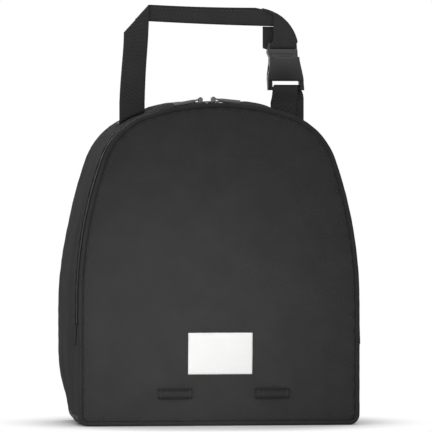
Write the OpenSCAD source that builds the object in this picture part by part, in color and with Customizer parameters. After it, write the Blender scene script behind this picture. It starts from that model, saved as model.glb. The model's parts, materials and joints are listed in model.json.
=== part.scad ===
// Insulated cooler bag. An arched soft body of cloth, foam and lining, with a zip round the front
// edge of the arch. Above the ends of the zip the front panel folds down as a flap. A webbing
// handle stands on the crown, closed at one side by a side release buckle.
// Millimetres. The bag stands on the XY plane with its front towards minus Y.

/* [Body] */
// Width across the front
body_w = 220; // [190:1:250]
// Depth over the piping
body_d = 120; // [100:1:160]
// Height of the crown of the arch
body_h = 250; // [230:1:290]
// Radius of the shoulders of the arch
shoulder_r = 56; // [50:1:62]
// Rise of the crown above the tops of the shoulders
crown_rise = 6; // [5:0.5:9]
// Distance that each side leans in from the base to the shoulder
side_lean = 16; // [13:0.5:19]
// Height where the sides start to lean in
side_z = 95; // [85:1:105]
// Radius of the bottom corners
corner_r = 8; // [6:0.5:12]
// Height of the fold line of the front flap
fold_z = 78; // [76:1:110]
// Width of the slit along the fold line
slit = 0.3; // [0.2:0.05:0.6]

/* [Layers] */
// Thickness of the outer cloth
cloth_t = 1.2; // [0.8:0.1:2]
// Thickness of the foam
foam_t = 6; // [4:0.5:9]
// Thickness of the lining
lining_t = 0.7; // [0.5:0.1:1.2]
// Thickness of the base board
board_t = 2; // [1:0.5:4]
// Diameter of the piping
piping_d = 3.6; // [3:0.2:5]
// Depth of the panels behind the front of the piping
panel_set = 1.6; // [1.6:0.1:2]
// Air between two layers
lay_gap = 0.1; // [0.1:0.05:0.2]

/* [Zip] */
// Distance of the zip from the front of the bag
zip_set = 16; // [15:0.5:22]
// Width of one tape from the middle of the zip
tape_w = 11; // [10:0.5:15]
// Thickness of the tape
tape_t = 0.8; // [0.5:0.1:1.2]
// Depth of the tape below the outline
tape_in = 1.5; // [1.4:0.1:2]
// Width of tape that is tucked under the band
tape_tuck = 3; // [2:0.5:5]
// Height of the coil
coil_h = 1.2; // [0.8:0.1:1.4]
// Width of one row of the coil
coil_w = 1.8; // [1.4:0.1:2.4]
// Width of the slot between the two rows of the coil
coil_slot = 1.6; // [1.4:0.1:2]
// Width of the cloth tab at each end of the zip
zip_tab_w = 16; // [10:1:20]
// Length of the cloth tab at each end of the zip
zip_tab_l = 15; // [10:1:20]

/* [Sliders and pulls] */
// Length of a slider along the zip
slider_l = 9.4; // [8:0.2:12]
// Width of a slider across the zip
slider_w = 8; // [7:0.2:9]
// Thickness of each plate of a slider
plate_t = 1.2; // [0.8:0.1:1.6]
// Gap between a slider's plates and the zip
plate_gap = 0.6; // [0.5:0.05:1]
// Turn from the crown to where the sliders meet, in degrees
meet_a = -2.5; // [-5:0.5:5]
// Gap between the two sliders
meet_gap = 0.6; // [0.4:0.1:2]
// Length of the post that joins a slider's plates
post_l = 2.4; // [1.6:0.2:3]
// Gap between the post and the rows of the coil
post_gap = 0.3; // [0.2:0.05:0.4]
// Length of a slider's lugs
lug_l = 3.2; // [2.8:0.2:4]
// Thickness of a slider's lugs
lug_w = 1; // [0.8:0.1:1.4]
// Radius of the pin between the lugs
pin_r = 0.7; // [0.6:0.05:0.9]
// Gap round the pin and beside the eye
pin_gap = 0.1; // [0.05:0.01:0.2]
// Radius of a pull's eye
eye_r = 1.6; // [1.4:0.1:2]
// Width of a pull's eye
eye_w = 3.4; // [2.6:0.2:4]
// Length of a pull from its eye
pull_l = 21; // [14:0.5:26]
// Width of a pull
pull_w = 5.6; // [4.4:0.2:8]
// Thickness of a pull
pull_t = 1.2; // [0.8:0.1:1.6]
// Length of a pull's narrow neck
neck_l = 4; // [3:0.5:6]
// Droop of a pull below the tangent, in degrees
pull_droop = 9; // [4:1:11]

/* [Handle] */
// Width of the webbing
web_w = 20; // [16:0.5:25]
// Thickness of the webbing
web_t = 1.6; // [1.2:0.1:2.2]
// Distance of each end of the handle from the middle
handle_x = 59; // [50:1:66]
// Height of the fold above the crown's surface
anchor_h = 3; // [2:0.5:6]
// Length of each sewn foot on the band
foot_l = 25; // [15:1:35]
// Gap between the fold's round edge and the strap
fold_gap = 0.4; // [0.3:0.05:0.8]
// Height of the handle above its fold
handle_rise = 81.5; // [79:0.5:110]
// Height of the folded grip
grip_h = 13; // [10:0.5:14]
// Height of the diagonal fold at the left turn
turn_cut = 22; // [14:1:30]
// Radius of the outer edge of the right turn
turn_r = 34; // [30:1:40]
// Distance of the parting in the grip from the right drop
split_l = 11; // [6:0.5:16]
// Width of the parting in the grip
split_gap = 0.3; // [0.3:0.05:0.6]
// Distance that the loose tail leans towards the middle
tail_lean = 7; // [0:0.5:9]
// Length of the webbing under the buckle
under_l = 16.1; // [15.5:0.1:30]

/* [Buckle] */
// Thickness of the socket
socket_t = 8.8; // [7.6:0.2:11]
// Length of the socket's shell
socket_l = 18.6; // [18:0.2:24]
// Thickness of the socket's floor
floor_t = 2.2; // [1.6:0.2:2.6]
// Thickness of the socket's cheeks beside its bar
socket_cheek = 3.3; // [3.2:0.1:4]
// Height of the open slot above the webbing on the socket's bar
slot_h = 2.8; // [1:0.2:4]
// Length of the windows in the socket's sides
window_l = 7.6; // [5:0.2:8]
// Thickness of the plug's shoulder
plug_t = 6.8; // [6:0.2:8]
// Height of the plug's shoulder
plug_h = 6; // [5:0.2:8]
// Thickness of the plug's cheeks beside its bar
plug_cheek = 2.7; // [2:0.1:3]
// Width of the plug's guide tongue
tongue_w = 3.2; // [2.4:0.2:4]
// Length of the plug's guide tongue
tongue_l = 10; // [6:0.5:12]
// Radius of the two bars that hold webbing
bar_r = 1.3; // [1:0.1:1.6]
// Gap between a bar and the webbing round it
bar_gap = 0.1; // [0.1:0.05:0.2]
// Length of a spring arm
arm_l = 15; // [13:0.5:15.5]
// Thickness of a spring arm, front to back
arm_t = 4.2; // [3:0.2:4.6]
// Width of a spring arm
arm_w = 3; // [2.6:0.1:3.4]
// Bow of a spring arm at its tip
arm_bow = 1.9; // [1.4:0.1:2]
// Radius of a spring arm's root
root_r = 1.2; // [1:0.1:1.4]
// Gap round the moving pieces of the buckle
run_gap = 0.4; // [0.3:0.05:0.5]

/* [Trim] */
// Width of the label
label_w = 50; // [40:1:60]
// Height of the label
label_h = 32; // [24:1:36]
// Height of the middle of the label
label_z = 56; // [48:1:58]
// Thickness of the label
label_t = 0.6; // [0.4:0.1:1]
// Width of a lash tab
tab_w = 27; // [20:1:32]
// Height of a lash tab
tab_h = 8; // [6:0.5:10]
// Thickness of a lash tab
tab_t = 1.4; // [0.8:0.1:1.4]
// Distance of each lash tab from the middle of the pair
tab_x = 38; // [30:1:50]
// How far to the right of the label's middle the pair of lash tabs is sewn
tab_shift = 3; // [-6:1:6]
// Height of the middle of the lash tabs
tab_z = 25; // [18:1:28]

/* [Hidden] */
$fn = 48;
// The arch is a crown, two shoulders and two long side curves, each tangent to the next.
shoulder_c = [body_w / 2 - side_lean - shoulder_r, body_h - crown_rise - shoulder_r];
crown_r = (pow(shoulder_c[0], 2) + pow(crown_rise + shoulder_r, 2) - pow(shoulder_r, 2)) / (2 * crown_rise);
crown_c = [0, body_h - crown_r];
side_r = shoulder_r + side_lean / 2 + pow(shoulder_c[1] - side_z, 2) / (2 * side_lean);
side_c = [body_w / 2 - side_r, side_z];
crown_a = atan2(shoulder_c[0] - crown_c[0], shoulder_c[1] - crown_c[1]);
shoulder_a = atan2(shoulder_c[0] - side_c[0], shoulder_c[1] - side_c[1]);
// Distances from the middle plane to each layer of the front and the back
half_d = body_d / 2;
panel_y = half_d - panel_set;
foam_y = panel_y - cloth_t - lay_gap;
lining_y = foam_y - foam_t - lay_gap;
inner_y = lining_y - lining_t - lay_gap;
band_y = half_d - piping_d - lay_gap;
// Depths of each layer below the outline
panel_in = piping_d + lay_gap;
core_in = panel_in + lining_t + lay_gap;
foam_in = cloth_t + lay_gap;
lining_in = foam_in + foam_t + lay_gap;
// Heights of the layers of the base
board_z = cloth_t + lay_gap;
base_foam_z = board_z + board_t + lay_gap;
base_lining_z = base_foam_z + foam_t + lay_gap;
wall_z = base_lining_z + lining_t + lay_gap;
// The two halves of the front end at the slit
low_z = fold_z - slit / 2;
high_z = fold_z + slit / 2;
over = 2 * body_h;
// The zip lies in a shallow channel below the outline
zip_y = zip_set - half_d;
coil_in = tape_in - coil_h - lay_gap / 2;
tape_end_y = zip_y + tape_w;
band_front_y = tape_end_y - tape_tuck;
lip_y = tape_end_y + lay_gap;
core_front_y = lip_y + lining_t + lay_gap;
// A slider has a plate above the coil and one below the tape, joined by a post in the slot
plate_r = crown_r - coil_in + plate_gap;
under_r = crown_r - tape_in - tape_t - plate_gap - plate_t;
half_turn = asin(slider_l / 2 / crown_r);
apart_a = asin((slider_l + meet_gap) / 2 / crown_r);
lug_y = eye_w / 2 + 2 * pin_gap;
pin_h = plate_r + plate_t + eye_r + 2 * pin_gap;
// Both ends of the handle fold on one line across the crown
hinge_z = crown_c[1] + sqrt(crown_r * crown_r - pow(handle_x - web_w / 2, 2)) + anchor_h;
strap_z = hinge_z + web_t / 2 + fold_gap;
top_z = hinge_z + handle_rise;
grip_z = top_z - grip_h;
split_x = handle_x - web_w / 2 - split_l;
loop_r = bar_r + bar_gap + web_t;
// Buckle heights, from the lower bar to the upper bar, and widths from its middle
bar_z = hinge_z + under_l;
shell_z = bar_z + loop_r + slot_h;
mouth_z = shell_z + socket_l;
shoulder_z = mouth_z + run_gap;
root_z = shoulder_z + 2 * run_gap;
plug_bar_z = shoulder_z + plug_h + loop_r + run_gap;
cheek_x = web_w / 2 + run_gap;
plug_x = cheek_x + plug_cheek;
socket_x = cheek_x + socket_cheek;
arm_x = web_w / 2 - run_gap;
root_x = arm_x - arm_w / 2;

// Points on an arc, with angles counted from the vertical
function arc(c, r, a0, a1, n) =
    [for (i = [0:n]) c + r * [sin(a0 + (a1 - a0) * i / n), cos(a0 + (a1 - a0) * i / n)]];
function tail(p) = [for (i = [1:len(p) - 1]) p[i]];
function flip(p) = [for (i = [len(p) - 1:-1:0]) [-p[i][0], p[i][1]]];

// Right half of the outline, from the crown to the middle of the base, moved in by a depth
function corner_at(in) = max(corner_r - in, 0.3);
function half_line(in) = concat(
    arc(crown_c, crown_r - in, 0, crown_a, 8),
    tail(arc(shoulder_c, shoulder_r - in, crown_a, shoulder_a, 8)),
    tail(arc(side_c, side_r - in, shoulder_a, 90, 5)),
    arc([body_w / 2 - in - corner_at(in), in + corner_at(in)], corner_at(in), 90, 180, 5));
function whole_line(in) = concat(half_line(in), flip(tail(half_line(in))));

module outline(in) {
    polygon(whole_line(in));
}

module ring(in0, in1) {
    difference() {
        outline(in0);
        outline(in1);
    }
}

// Part of a front view shape between two heights
module between(z0, z1) {
    intersection() {
        children();
        translate([-body_w, z0])
            square([2 * body_w, z1 - z0]);
    }
}

// A front view shape made solid from y0 back to y1
module slab(y0, y1) {
    translate([0, y1, 0])
        rotate([90, 0, 0])
            linear_extrude(y1 - y0)
                children();
}

// A round cord along the outline, either the whole closed line or an open stretch of it
module cord(path, y, closed) {
    n = len(path);
    k = 8;
    last = closed ? n : n - 1;
    function dir(i) = closed ? path[(i + 1) % n] - path[(i + n - 1) % n]
        : path[min(i + 1, n - 1)] - path[max(i - 1, 0)];
    function out(i) = [dir(i)[1], -dir(i)[0]] / norm(dir(i));
    points = [for (i = [0:n - 1], j = [0:k - 1])
        let (p = path[i] + piping_d / 2 * cos(j * 360 / k) * out(i))
        [p[0], y + piping_d / 2 * sin(j * 360 / k), p[1]]];
    sides = [for (i = [0:last - 1], j = [0:k - 1])
        let (i2 = (i + 1) % n, j2 = (j + 1) % k)
        [i * k + j, i2 * k + j, i2 * k + j2, i * k + j2]];
    ends = closed ? [] : [[for (j = [0:k - 1]) j], [for (j = [k - 1:-1:0]) (n - 1) * k + j]];
    polyhedron(points, concat(sides, ends), convexity = 6);
}

// The height where an open stretch of cord is cut, on the outline moved in by half the cord
pipe_line = whole_line(piping_d / 2);
function cut_x(z) = body_w / 2 - side_r + sqrt(pow(side_r - piping_d / 2, 2) - pow(max(z - side_z, 0), 2));
function upper_line(z) = concat(
    [[-cut_x(z), z]],
    [for (i = [0:len(pipe_line) - 1])
        let (p = pipe_line[(i + floor(len(pipe_line) / 2)) % len(pipe_line)])
        if (p[1] > z + 1) p],
    [[cut_x(z), z]]);
function lower_line(z) = concat(
    [[cut_x(z), z]],
    [for (p = pipe_line) if (p[1] < z - 1) p],
    [[-cut_x(z), z]]);

// Cloth panels
module back_panel() {
    color([0.16, 0.16, 0.17])
        slab(panel_y - cloth_t, panel_y)
            outline(panel_in);
}

module front_panel() {
    color([0.16, 0.16, 0.17])
        slab(-panel_y, cloth_t - panel_y)
            between(0, low_z)
                outline(panel_in);
}

module flap_panel() {
    color([0.16, 0.16, 0.17])
        slab(-panel_y, cloth_t - panel_y)
            between(high_z, over)
                outline(panel_in);
}

// The band is cut back above the fold line to make room for the zip
module side_band() {
    color([0.16, 0.16, 0.17])
        union() {
            slab(-band_y, band_y)
                between(corner_r + lay_gap, low_z)
                    ring(0, cloth_t);
            slab(band_front_y, band_y)
                between(low_z, over)
                    ring(0, cloth_t);
        }
}

module base_panel() {
    color([0.14, 0.14, 0.15])
        slab(-band_y, band_y)
            between(0, corner_r)
                ring(0, cloth_t);
}

// Piping in the seams between the panels and the band
module back_piping() {
    color([0.13, 0.13, 0.14])
        cord(pipe_line, half_d - piping_d / 2, true);
}

module front_piping() {
    color([0.13, 0.13, 0.14])
        cord(lower_line(low_z), piping_d / 2 - half_d, false);
}

module flap_piping() {
    color([0.13, 0.13, 0.14])
        cord(upper_line(high_z), piping_d / 2 - half_d, false);
}

// Foam inside every wall
module back_foam() {
    color([0.9, 0.9, 0.88])
        slab(foam_y - foam_t, foam_y)
            outline(core_in);
}

module front_foam() {
    color([0.9, 0.9, 0.88])
        slab(-foam_y, foam_t - foam_y)
            between(0, low_z)
                outline(core_in);
}

module flap_foam() {
    color([0.9, 0.9, 0.88])
        slab(-foam_y, foam_t - foam_y)
            between(high_z, over)
                outline(core_in);
}

module band_foam() {
    color([0.9, 0.9, 0.88])
        union() {
            slab(-inner_y, inner_y)
                between(wall_z, low_z - lining_t - lay_gap)
                    ring(foam_in, lining_in - lay_gap);
            slab(core_front_y, inner_y)
                between(low_z - lining_t - lay_gap, over)
                    ring(foam_in, lining_in - lay_gap);
        }
}

module base_foam() {
    color([0.9, 0.9, 0.88])
        slab(-inner_y, inner_y)
            between(base_foam_z, base_foam_z + foam_t)
                outline(foam_in);
}

module base_board() {
    color([0.55, 0.55, 0.55])
        slab(-inner_y, inner_y)
            between(board_z, board_z + board_t)
                outline(foam_in);
}

// Lining, turned over the edges of the foam
module lining_tray() {
    slab(-lining_y, lining_t - lining_y)
        outline(panel_in);
    slab(-foam_y, -lining_y)
        ring(panel_in, panel_in + lining_t);
}

module back_lining() {
    color([0.75, 0.77, 0.78])
        rotate([0, 0, 180])
            lining_tray();
}

module front_lining() {
    color([0.75, 0.77, 0.78])
        intersection() {
            lining_tray();
            translate([-body_w, -body_d, 0])
                cube([2 * body_w, 2 * body_d, low_z]);
        }
}

module flap_lining() {
    color([0.75, 0.77, 0.78])
        intersection() {
            lining_tray();
            translate([-body_w, -body_d, high_z])
                cube([2 * body_w, 2 * body_d, over]);
        }
}

module band_lining() {
    color([0.75, 0.77, 0.78])
        union() {
            slab(-inner_y, inner_y)
                between(wall_z, low_z)
                    ring(lining_in, lining_in + lining_t);
            slab(core_front_y, inner_y)
                between(low_z, over)
                    ring(lining_in, lining_in + lining_t);
            slab(lip_y, lip_y + lining_t)
                between(low_z - lining_t, over)
                    ring(tape_in + tape_t + lay_gap, lining_in + lining_t);
            slab(-inner_y, lip_y + lining_t)
                between(low_z - lining_t, low_z)
                    ring(foam_in, lining_in + lining_t);
        }
}

module base_lining() {
    color([0.75, 0.77, 0.78])
        slab(-inner_y, inner_y)
            between(base_lining_z, base_lining_z + lining_t)
                outline(foam_in);
}

// Zip: two tapes and two rows of coil round the arch, ending at the fold line
module zip_tape_front() {
    color([0.1, 0.1, 0.1])
        slab(-band_y, zip_y - coil_slot / 2)
            between(high_z, over)
                ring(tape_in, tape_in + tape_t);
}

module zip_tape_rear() {
    color([0.1, 0.1, 0.1])
        slab(zip_y + coil_slot / 2, tape_end_y)
            between(high_z, over)
                ring(tape_in, tape_in + tape_t);
}

module zip_coil_front() {
    color([0.22, 0.22, 0.22])
        slab(zip_y - coil_slot / 2 - coil_w, zip_y - coil_slot / 2)
            between(high_z, over)
                ring(coil_in, coil_in + coil_h);
}

module zip_coil_rear() {
    color([0.22, 0.22, 0.22])
        slab(zip_y + coil_slot / 2, zip_y + coil_slot / 2 + coil_w)
            between(high_z, over)
                ring(coil_in, coil_in + coil_h);
}

// A folded cloth tab closes each end of the zip
module zip_tab(side) {
    slab(zip_y - zip_tab_w / 2, zip_y + zip_tab_w / 2)
        intersection() {
            ring(-lay_gap - cloth_t, -lay_gap);
            translate([side > 0 ? 0 : -body_w, low_z - zip_tab_l])
                square([body_w, zip_tab_l]);
        }
}

module zip_tab_left() {
    color([0.13, 0.13, 0.14])
        zip_tab(-1);
}

module zip_tab_right() {
    color([0.13, 0.13, 0.14])
        zip_tab(1);
}

// Places a shape drawn at the top of the crown at a turn along the zip
module along_zip(a) {
    translate([0, zip_y, crown_c[1]])
        rotate([0, a, 0])
            children();
}

// A curved plate of the slider, true round about the crown's centre
module plate(r, w) {
    rotate([90, 0, 0])
        rotate([0, 0, 90 - half_turn])
            rotate_extrude(angle = 2 * half_turn, $fn = 180)
                translate([r, -w / 2])
                    square([plate_t, w]);
}

module slider(side) {
    union() {
        plate(plate_r, slider_w);
        plate(under_r, slider_w);
        translate([-(side * slider_l + 2 * post_l) / 4, post_gap - coil_slot / 2, under_r + plate_t / 2])
            cube([post_l, coil_slot - 2 * post_gap, plate_r - under_r]);
        for (y = [-lug_y - lug_w, lug_y])
            translate([-lug_l / 2, y, plate_r + plate_t / 2])
                cube([lug_l, lug_w, pin_h + eye_r / 2 - plate_r - plate_t / 2]);
        translate([0, lug_y + lug_w / 2, pin_h])
            rotate([90, 0, 0])
                cylinder(r = pin_r, h = 2 * lug_y + lug_w);
    }
}

module slider_left() {
    color([0.45, 0.45, 0.46])
        along_zip(meet_a - apart_a)
            slider(-1);
}

module slider_right() {
    color([0.45, 0.45, 0.46])
        along_zip(meet_a + apart_a)
            slider(1);
}

// A pull hangs by its eye on the slider's pin and lies outwards along the zip
module pull(side) {
    translate([0, 0, pin_h])
        rotate([0, side * pull_droop, 0])
            difference() {
                union() {
                    translate([0, eye_w / 2, 0])
                        rotate([90, 0, 0])
                            cylinder(r = eye_r, h = eye_w);
                    translate([side > 0 ? 0 : -2 * neck_l, -eye_w / 2, -pull_t / 2])
                        cube([2 * neck_l, eye_w, pull_t]);
                    translate([side > 0 ? neck_l : -pull_l, -pull_w / 2, -pull_t / 2])
                        cube([pull_l - neck_l, pull_w, pull_t]);
                }
                translate([0, eye_w, 0])
                    rotate([90, 0, 0])
                        cylinder(r = pin_r + pin_gap, h = 2 * eye_w);
            }
}

module pull_left() {
    color([0.55, 0.55, 0.56])
        along_zip(meet_a - apart_a)
            pull(-1);
}

module pull_right() {
    color([0.55, 0.55, 0.56])
        along_zip(meet_a + apart_a)
            pull(1);
}

// Each end of the handle: a foot sewn along the band and a short stand that ends in the fold
module anchor(side) {
    x0 = side * handle_x - web_w / 2;
    slab(-web_t / 2, foot_l)
        intersection() {
            ring(-lay_gap - web_t, -lay_gap);
            translate([x0, side_z])
                square([web_w, body_h]);
        }
    slab(-web_t / 2, web_t / 2)
        difference() {
            translate([x0, side_z])
                square([web_w, hinge_z - side_z]);
            outline(-lay_gap - web_t / 2);
        }
    translate([x0, 0, hinge_z])
        rotate([0, 90, 0])
            cylinder(r = web_t / 2, h = web_w);
}

module anchor_left() {
    color([0.12, 0.12, 0.12])
        anchor(-1);
}

module anchor_right() {
    color([0.12, 0.12, 0.12])
        anchor(1);
}

// The strap rises at the left, turns in a flat diagonal fold and runs on as a folded grip
module handle_strap() {
    inner_x = web_w / 2 - handle_x;
    color([0.12, 0.12, 0.12])
        union() {
            slab(-web_t / 2, web_t / 2)
                polygon([[inner_x - web_w, strap_z], [inner_x, strap_z], [inner_x, top_z],
                    [inner_x - web_w, top_z - turn_cut]]);
            slab(-web_t, web_t)
                translate([inner_x, grip_z])
                    square([split_x - inner_x, grip_h]);
        }
}

// Webbing looped round a bar that lies along X
module webbing_loop(z) {
    translate([handle_x - web_w / 2, 0, z])
        rotate([0, 90, 0])
            cylinder(r = loop_r, h = web_w);
}

module bar_hole(z) {
    translate([handle_x - web_w, 0, z])
        rotate([0, 90, 0])
            cylinder(r = bar_r + bar_gap, h = 2 * web_w);
}

// The other end of the strap turns down to the buckle and doubles back as a loose tail
module strap_end() {
    x0 = handle_x - web_w / 2;
    x1 = handle_x + web_w / 2;
    turn_c = [x1 - turn_r, top_z - turn_r];
    start_a = asin((split_x + split_gap - turn_c[0]) / turn_r);
    end_a = min(acos((plug_bar_z - turn_c[1]) / turn_r), 90);
    tail_z = grip_z - web_t;
    color([0.12, 0.12, 0.12])
        difference() {
            union() {
                slab(-web_t / 2, web_t / 2)
                    polygon(concat(arc(turn_c, turn_r, start_a, end_a, 8),
                        end_a < 90 ? [] : [[x1, plug_bar_z]],
                        [[x0, plug_bar_z], [x0, grip_z], [split_x + split_gap, grip_z]]));
                slab(0, 1.5 * web_t)
                    polygon([[x0 - tail_lean, tail_z], [x0, plug_bar_z], [x1, plug_bar_z],
                        [x1 - tail_lean, tail_z]]);
                webbing_loop(plug_bar_z);
            }
            bar_hole(plug_bar_z);
        }
}

// A doubled webbing under the buckle, looped round the socket's bar
module buckle_strap() {
    color([0.12, 0.12, 0.12])
        difference() {
            union() {
                slab(-web_t, web_t)
                    translate([handle_x - web_w / 2, strap_z])
                        square([web_w, bar_z - strap_z]);
                webbing_loop(bar_z);
            }
            bar_hole(bar_z);
        }
}

// Half width of the space for the arms, widening downwards from their roots
function arm_space(z, gap) = arm_x + gap + arm_bow * pow((root_z - z) / arm_l, 2);

// A bar for webbing, held between two cheeks that stand on the buckle from z0 to z1
module bar_and_cheeks(z, z0, z1, x, t) {
    for (x0 = [-x, cheek_x])
        slab(-t / 2, t / 2)
            translate([x0, z0])
                square([x - cheek_x, z1 - z0]);
    translate([-x, 0, z])
        rotate([0, 90, 0])
            cylinder(r = bar_r, h = 2 * x);
}

module buckle_socket() {
    floor_z = shell_z + floor_t;
    steps = 8;
    hollow_t = arm_t + 2 * run_gap;
    right = [for (i = [0:steps])
        let (z = floor_z + (root_z - floor_z) * i / steps)
        [arm_space(z, run_gap), z]];
    color([0.07, 0.07, 0.07])
        translate([handle_x, 0, 0])
            union() {
                difference() {
                    slab(-socket_t / 2, socket_t / 2)
                        translate([-socket_x, shell_z])
                            square([2 * socket_x, socket_l]);
                    slab(-hollow_t / 2, hollow_t / 2)
                        polygon(concat(right, [for (i = [steps:-1:0]) [-right[i][0], right[i][1]]]));
                    translate([-2 * socket_x, -hollow_t / 2, floor_z + floor_t])
                        cube([4 * socket_x, hollow_t, window_l]);
                }
                bar_and_cheeks(bar_z, bar_z - bar_r - bar_gap, shell_z + floor_t / 2, socket_x, plug_t);
            }
}

module buckle_plug() {
    color([0.07, 0.07, 0.07])
        translate([handle_x, 0, 0])
            union() {
                difference() {
                    slab(-plug_t / 2, plug_t / 2)
                        translate([-plug_x, shoulder_z])
                            square([2 * plug_x, plug_h]);
                    for (side = [-1, 1]) {
                        translate([side * root_x, plug_t, root_z])
                            rotate([90, 0, 0])
                                cylinder(r = root_r + run_gap, h = 2 * plug_t);
                        translate([side * root_x - 2 * root_r, -plug_t, mouth_z])
                            cube([4 * root_r, 2 * plug_t, root_z - mouth_z]);
                    }
                }
                slab(-arm_t / 2 + run_gap, arm_t / 2 - run_gap)
                    translate([-tongue_w / 2, mouth_z - tongue_l])
                        square([tongue_w, tongue_l + plug_h / 2]);
                bar_and_cheeks(plug_bar_z, shoulder_z + plug_h / 2, plug_bar_z + bar_r + bar_gap, plug_x,
                    plug_t - 2 * bar_r);
            }
}

// A spring arm turns on its root in the plug and bows outwards towards its tip
module arm(side) {
    steps = 8;
    edge = [for (i = [0:steps])
        let (z = root_z - arm_l * i / steps)
        [side * arm_space(z, 0), z]];
    translate([handle_x, 0, 0])
        union() {
            translate([side * root_x, arm_t / 2, root_z])
                rotate([90, 0, 0])
                    cylinder(r = root_r, h = arm_t);
            slab(-arm_t / 2, arm_t / 2)
                polygon(concat([for (p = edge) if (p[1] < root_z - root_r) p],
                    [[side * (arm_x - arm_w), root_z - arm_l], [side * (root_x - root_r), root_z]]));
        }
}

module arm_left() {
    color([0.07, 0.07, 0.07])
        arm(-1);
}

module arm_right() {
    color([0.07, 0.07, 0.07])
        arm(1);
}

// Trim on the front
module label() {
    color([0.93, 0.93, 0.92])
        translate([-label_w / 2, -panel_y - lay_gap - label_t, label_z - label_h / 2])
            cube([label_w, label_t, label_h]);
}

module lash_tab(x) {
    translate([x - tab_w / 2, -panel_y - lay_gap - tab_t, tab_z - tab_h / 2])
        cube([tab_w, tab_t, tab_h]);
}

module lash_tab_left() {
    color([0.1, 0.1, 0.1])
        lash_tab(tab_shift - tab_x);
}

module lash_tab_right() {
    color([0.1, 0.1, 0.1])
        lash_tab(tab_shift + tab_x);
}

back_panel();
front_panel();
flap_panel();
side_band();
base_panel();
back_piping();
front_piping();
flap_piping();
back_foam();
front_foam();
flap_foam();
band_foam();
base_foam();
base_board();
back_lining();
front_lining();
flap_lining();
band_lining();
base_lining();
zip_tape_front();
zip_tape_rear();
zip_coil_front();
zip_coil_rear();
zip_tab_left();
zip_tab_right();
slider_left();
slider_right();
pull_left();
pull_right();
anchor_left();
anchor_right();
handle_strap();
strap_end();
buckle_strap();
buckle_socket();
buckle_plug();
arm_left();
arm_right();
label();
lash_tab_left();
lash_tab_right();
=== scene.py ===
from bisect import bisect_right
import json
import math

import bmesh
import bpy
from mathutils import Matrix, Vector, kdtree, noise
from mathutils.bvhtree import BVHTree


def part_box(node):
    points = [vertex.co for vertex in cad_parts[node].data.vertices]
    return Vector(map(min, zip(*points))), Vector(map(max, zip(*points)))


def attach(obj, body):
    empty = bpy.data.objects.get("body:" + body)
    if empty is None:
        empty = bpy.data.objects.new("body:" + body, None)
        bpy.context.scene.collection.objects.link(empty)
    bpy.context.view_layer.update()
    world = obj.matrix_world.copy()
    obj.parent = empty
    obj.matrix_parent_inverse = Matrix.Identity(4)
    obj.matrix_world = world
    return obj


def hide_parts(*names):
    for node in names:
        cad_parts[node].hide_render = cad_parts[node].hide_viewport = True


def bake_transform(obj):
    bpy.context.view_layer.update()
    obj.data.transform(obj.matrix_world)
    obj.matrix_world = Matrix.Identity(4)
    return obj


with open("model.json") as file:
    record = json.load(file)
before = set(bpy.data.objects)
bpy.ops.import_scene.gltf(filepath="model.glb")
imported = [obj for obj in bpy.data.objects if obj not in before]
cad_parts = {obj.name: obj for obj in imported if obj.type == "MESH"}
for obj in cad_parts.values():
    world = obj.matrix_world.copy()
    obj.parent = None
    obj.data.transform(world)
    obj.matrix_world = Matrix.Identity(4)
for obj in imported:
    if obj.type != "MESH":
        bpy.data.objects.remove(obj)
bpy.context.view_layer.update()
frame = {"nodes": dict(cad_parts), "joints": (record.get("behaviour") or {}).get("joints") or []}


# Front and back panels: black polyester cloth over foam, cut to the arch and sewn into the piping
# all round. The front is one panel, and above the ends of the zip it is the flap. Both swell
# a little over the foam, and the sewing draws small puckers along the seams.
half_w, half_d, body_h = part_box("back_piping")[1]
seam_sink = 0.0002
panel_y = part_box("back_panel")[1].y - seam_sink
panel_depth = 0.0028
cloth_t = 0.0010
front_rise, back_rise = 0.0078, 0.0066
fold_z = (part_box("front_panel")[1].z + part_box("flap_panel")[0].z) / 2
fold_reach = 0.0055
fold_start, fold_end = (0, -half_d, fold_z - fold_reach), (0, -half_d, fold_z + fold_reach)
shoulder_r = 0.056
crown_rise = 0.006
side_lean = 0.016
side_z = 0.095
corner_r, corner_min = 0.008, 0.0003
shoulder = Vector((half_w - side_lean - shoulder_r, body_h - crown_rise - shoulder_r))
crown_r = (shoulder.x**2 + (crown_rise + shoulder_r)**2 - shoulder_r**2) / (2 * crown_rise)
crown = Vector((0, body_h - crown_r))
side_r = shoulder_r + side_lean / 2 + (shoulder.y - side_z)**2 / (2 * side_lean)
side = Vector((half_w - side_r, side_z))
ARC_STEPS = 24
SIDE_END = 3 * ARC_STEPS
BASE_TOP = SIDE_END + 1
PATCH_TOP = ARC_STEPS + ARC_STEPS // 2
PATCH_LOW = BASE_TOP + ARC_STEPS // 2
PANEL_COLUMNS, PANEL_ROWS = 46, 52
SWELL_STEPS = 20
seam_step = 0.001
seam_clear = 0.025
pucker_drift = 0.03
crease_size = 0.045
slump, slump_h = 0.0062, 0.045
slump_x, slump_w = 0.075, 0.03
slump_y, slump_d = -0.02, 0.06
cloud_size = 0.0222


def half_outline(depth):
    """Right half of the front view, from the crown to the middle of the base, moved in by depth."""
    corner = max(corner_r - depth, corner_min)
    crown_a = math.atan2(*(shoulder - crown))
    shoulder_a = math.atan2(*(shoulder - side))
    corner_c = Vector((half_w - depth - corner, depth + corner))
    arcs = [(crown, crown_r - depth, 0, crown_a, 0),
            (shoulder, shoulder_r - depth, crown_a, shoulder_a, 1),
            (side, side_r - depth, shoulder_a, math.pi / 2, 1),
            (corner_c, corner, math.pi / 2, math.pi, 0)]
    line = []
    for centre, radius, start, end, first in arcs:
        for i in range(first, ARC_STEPS + 1):
            turn = start + (end - start) * i / ARC_STEPS
            line.append(centre + radius * Vector((math.sin(turn), math.cos(turn))))
    return line + [Vector((0, depth))]


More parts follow.
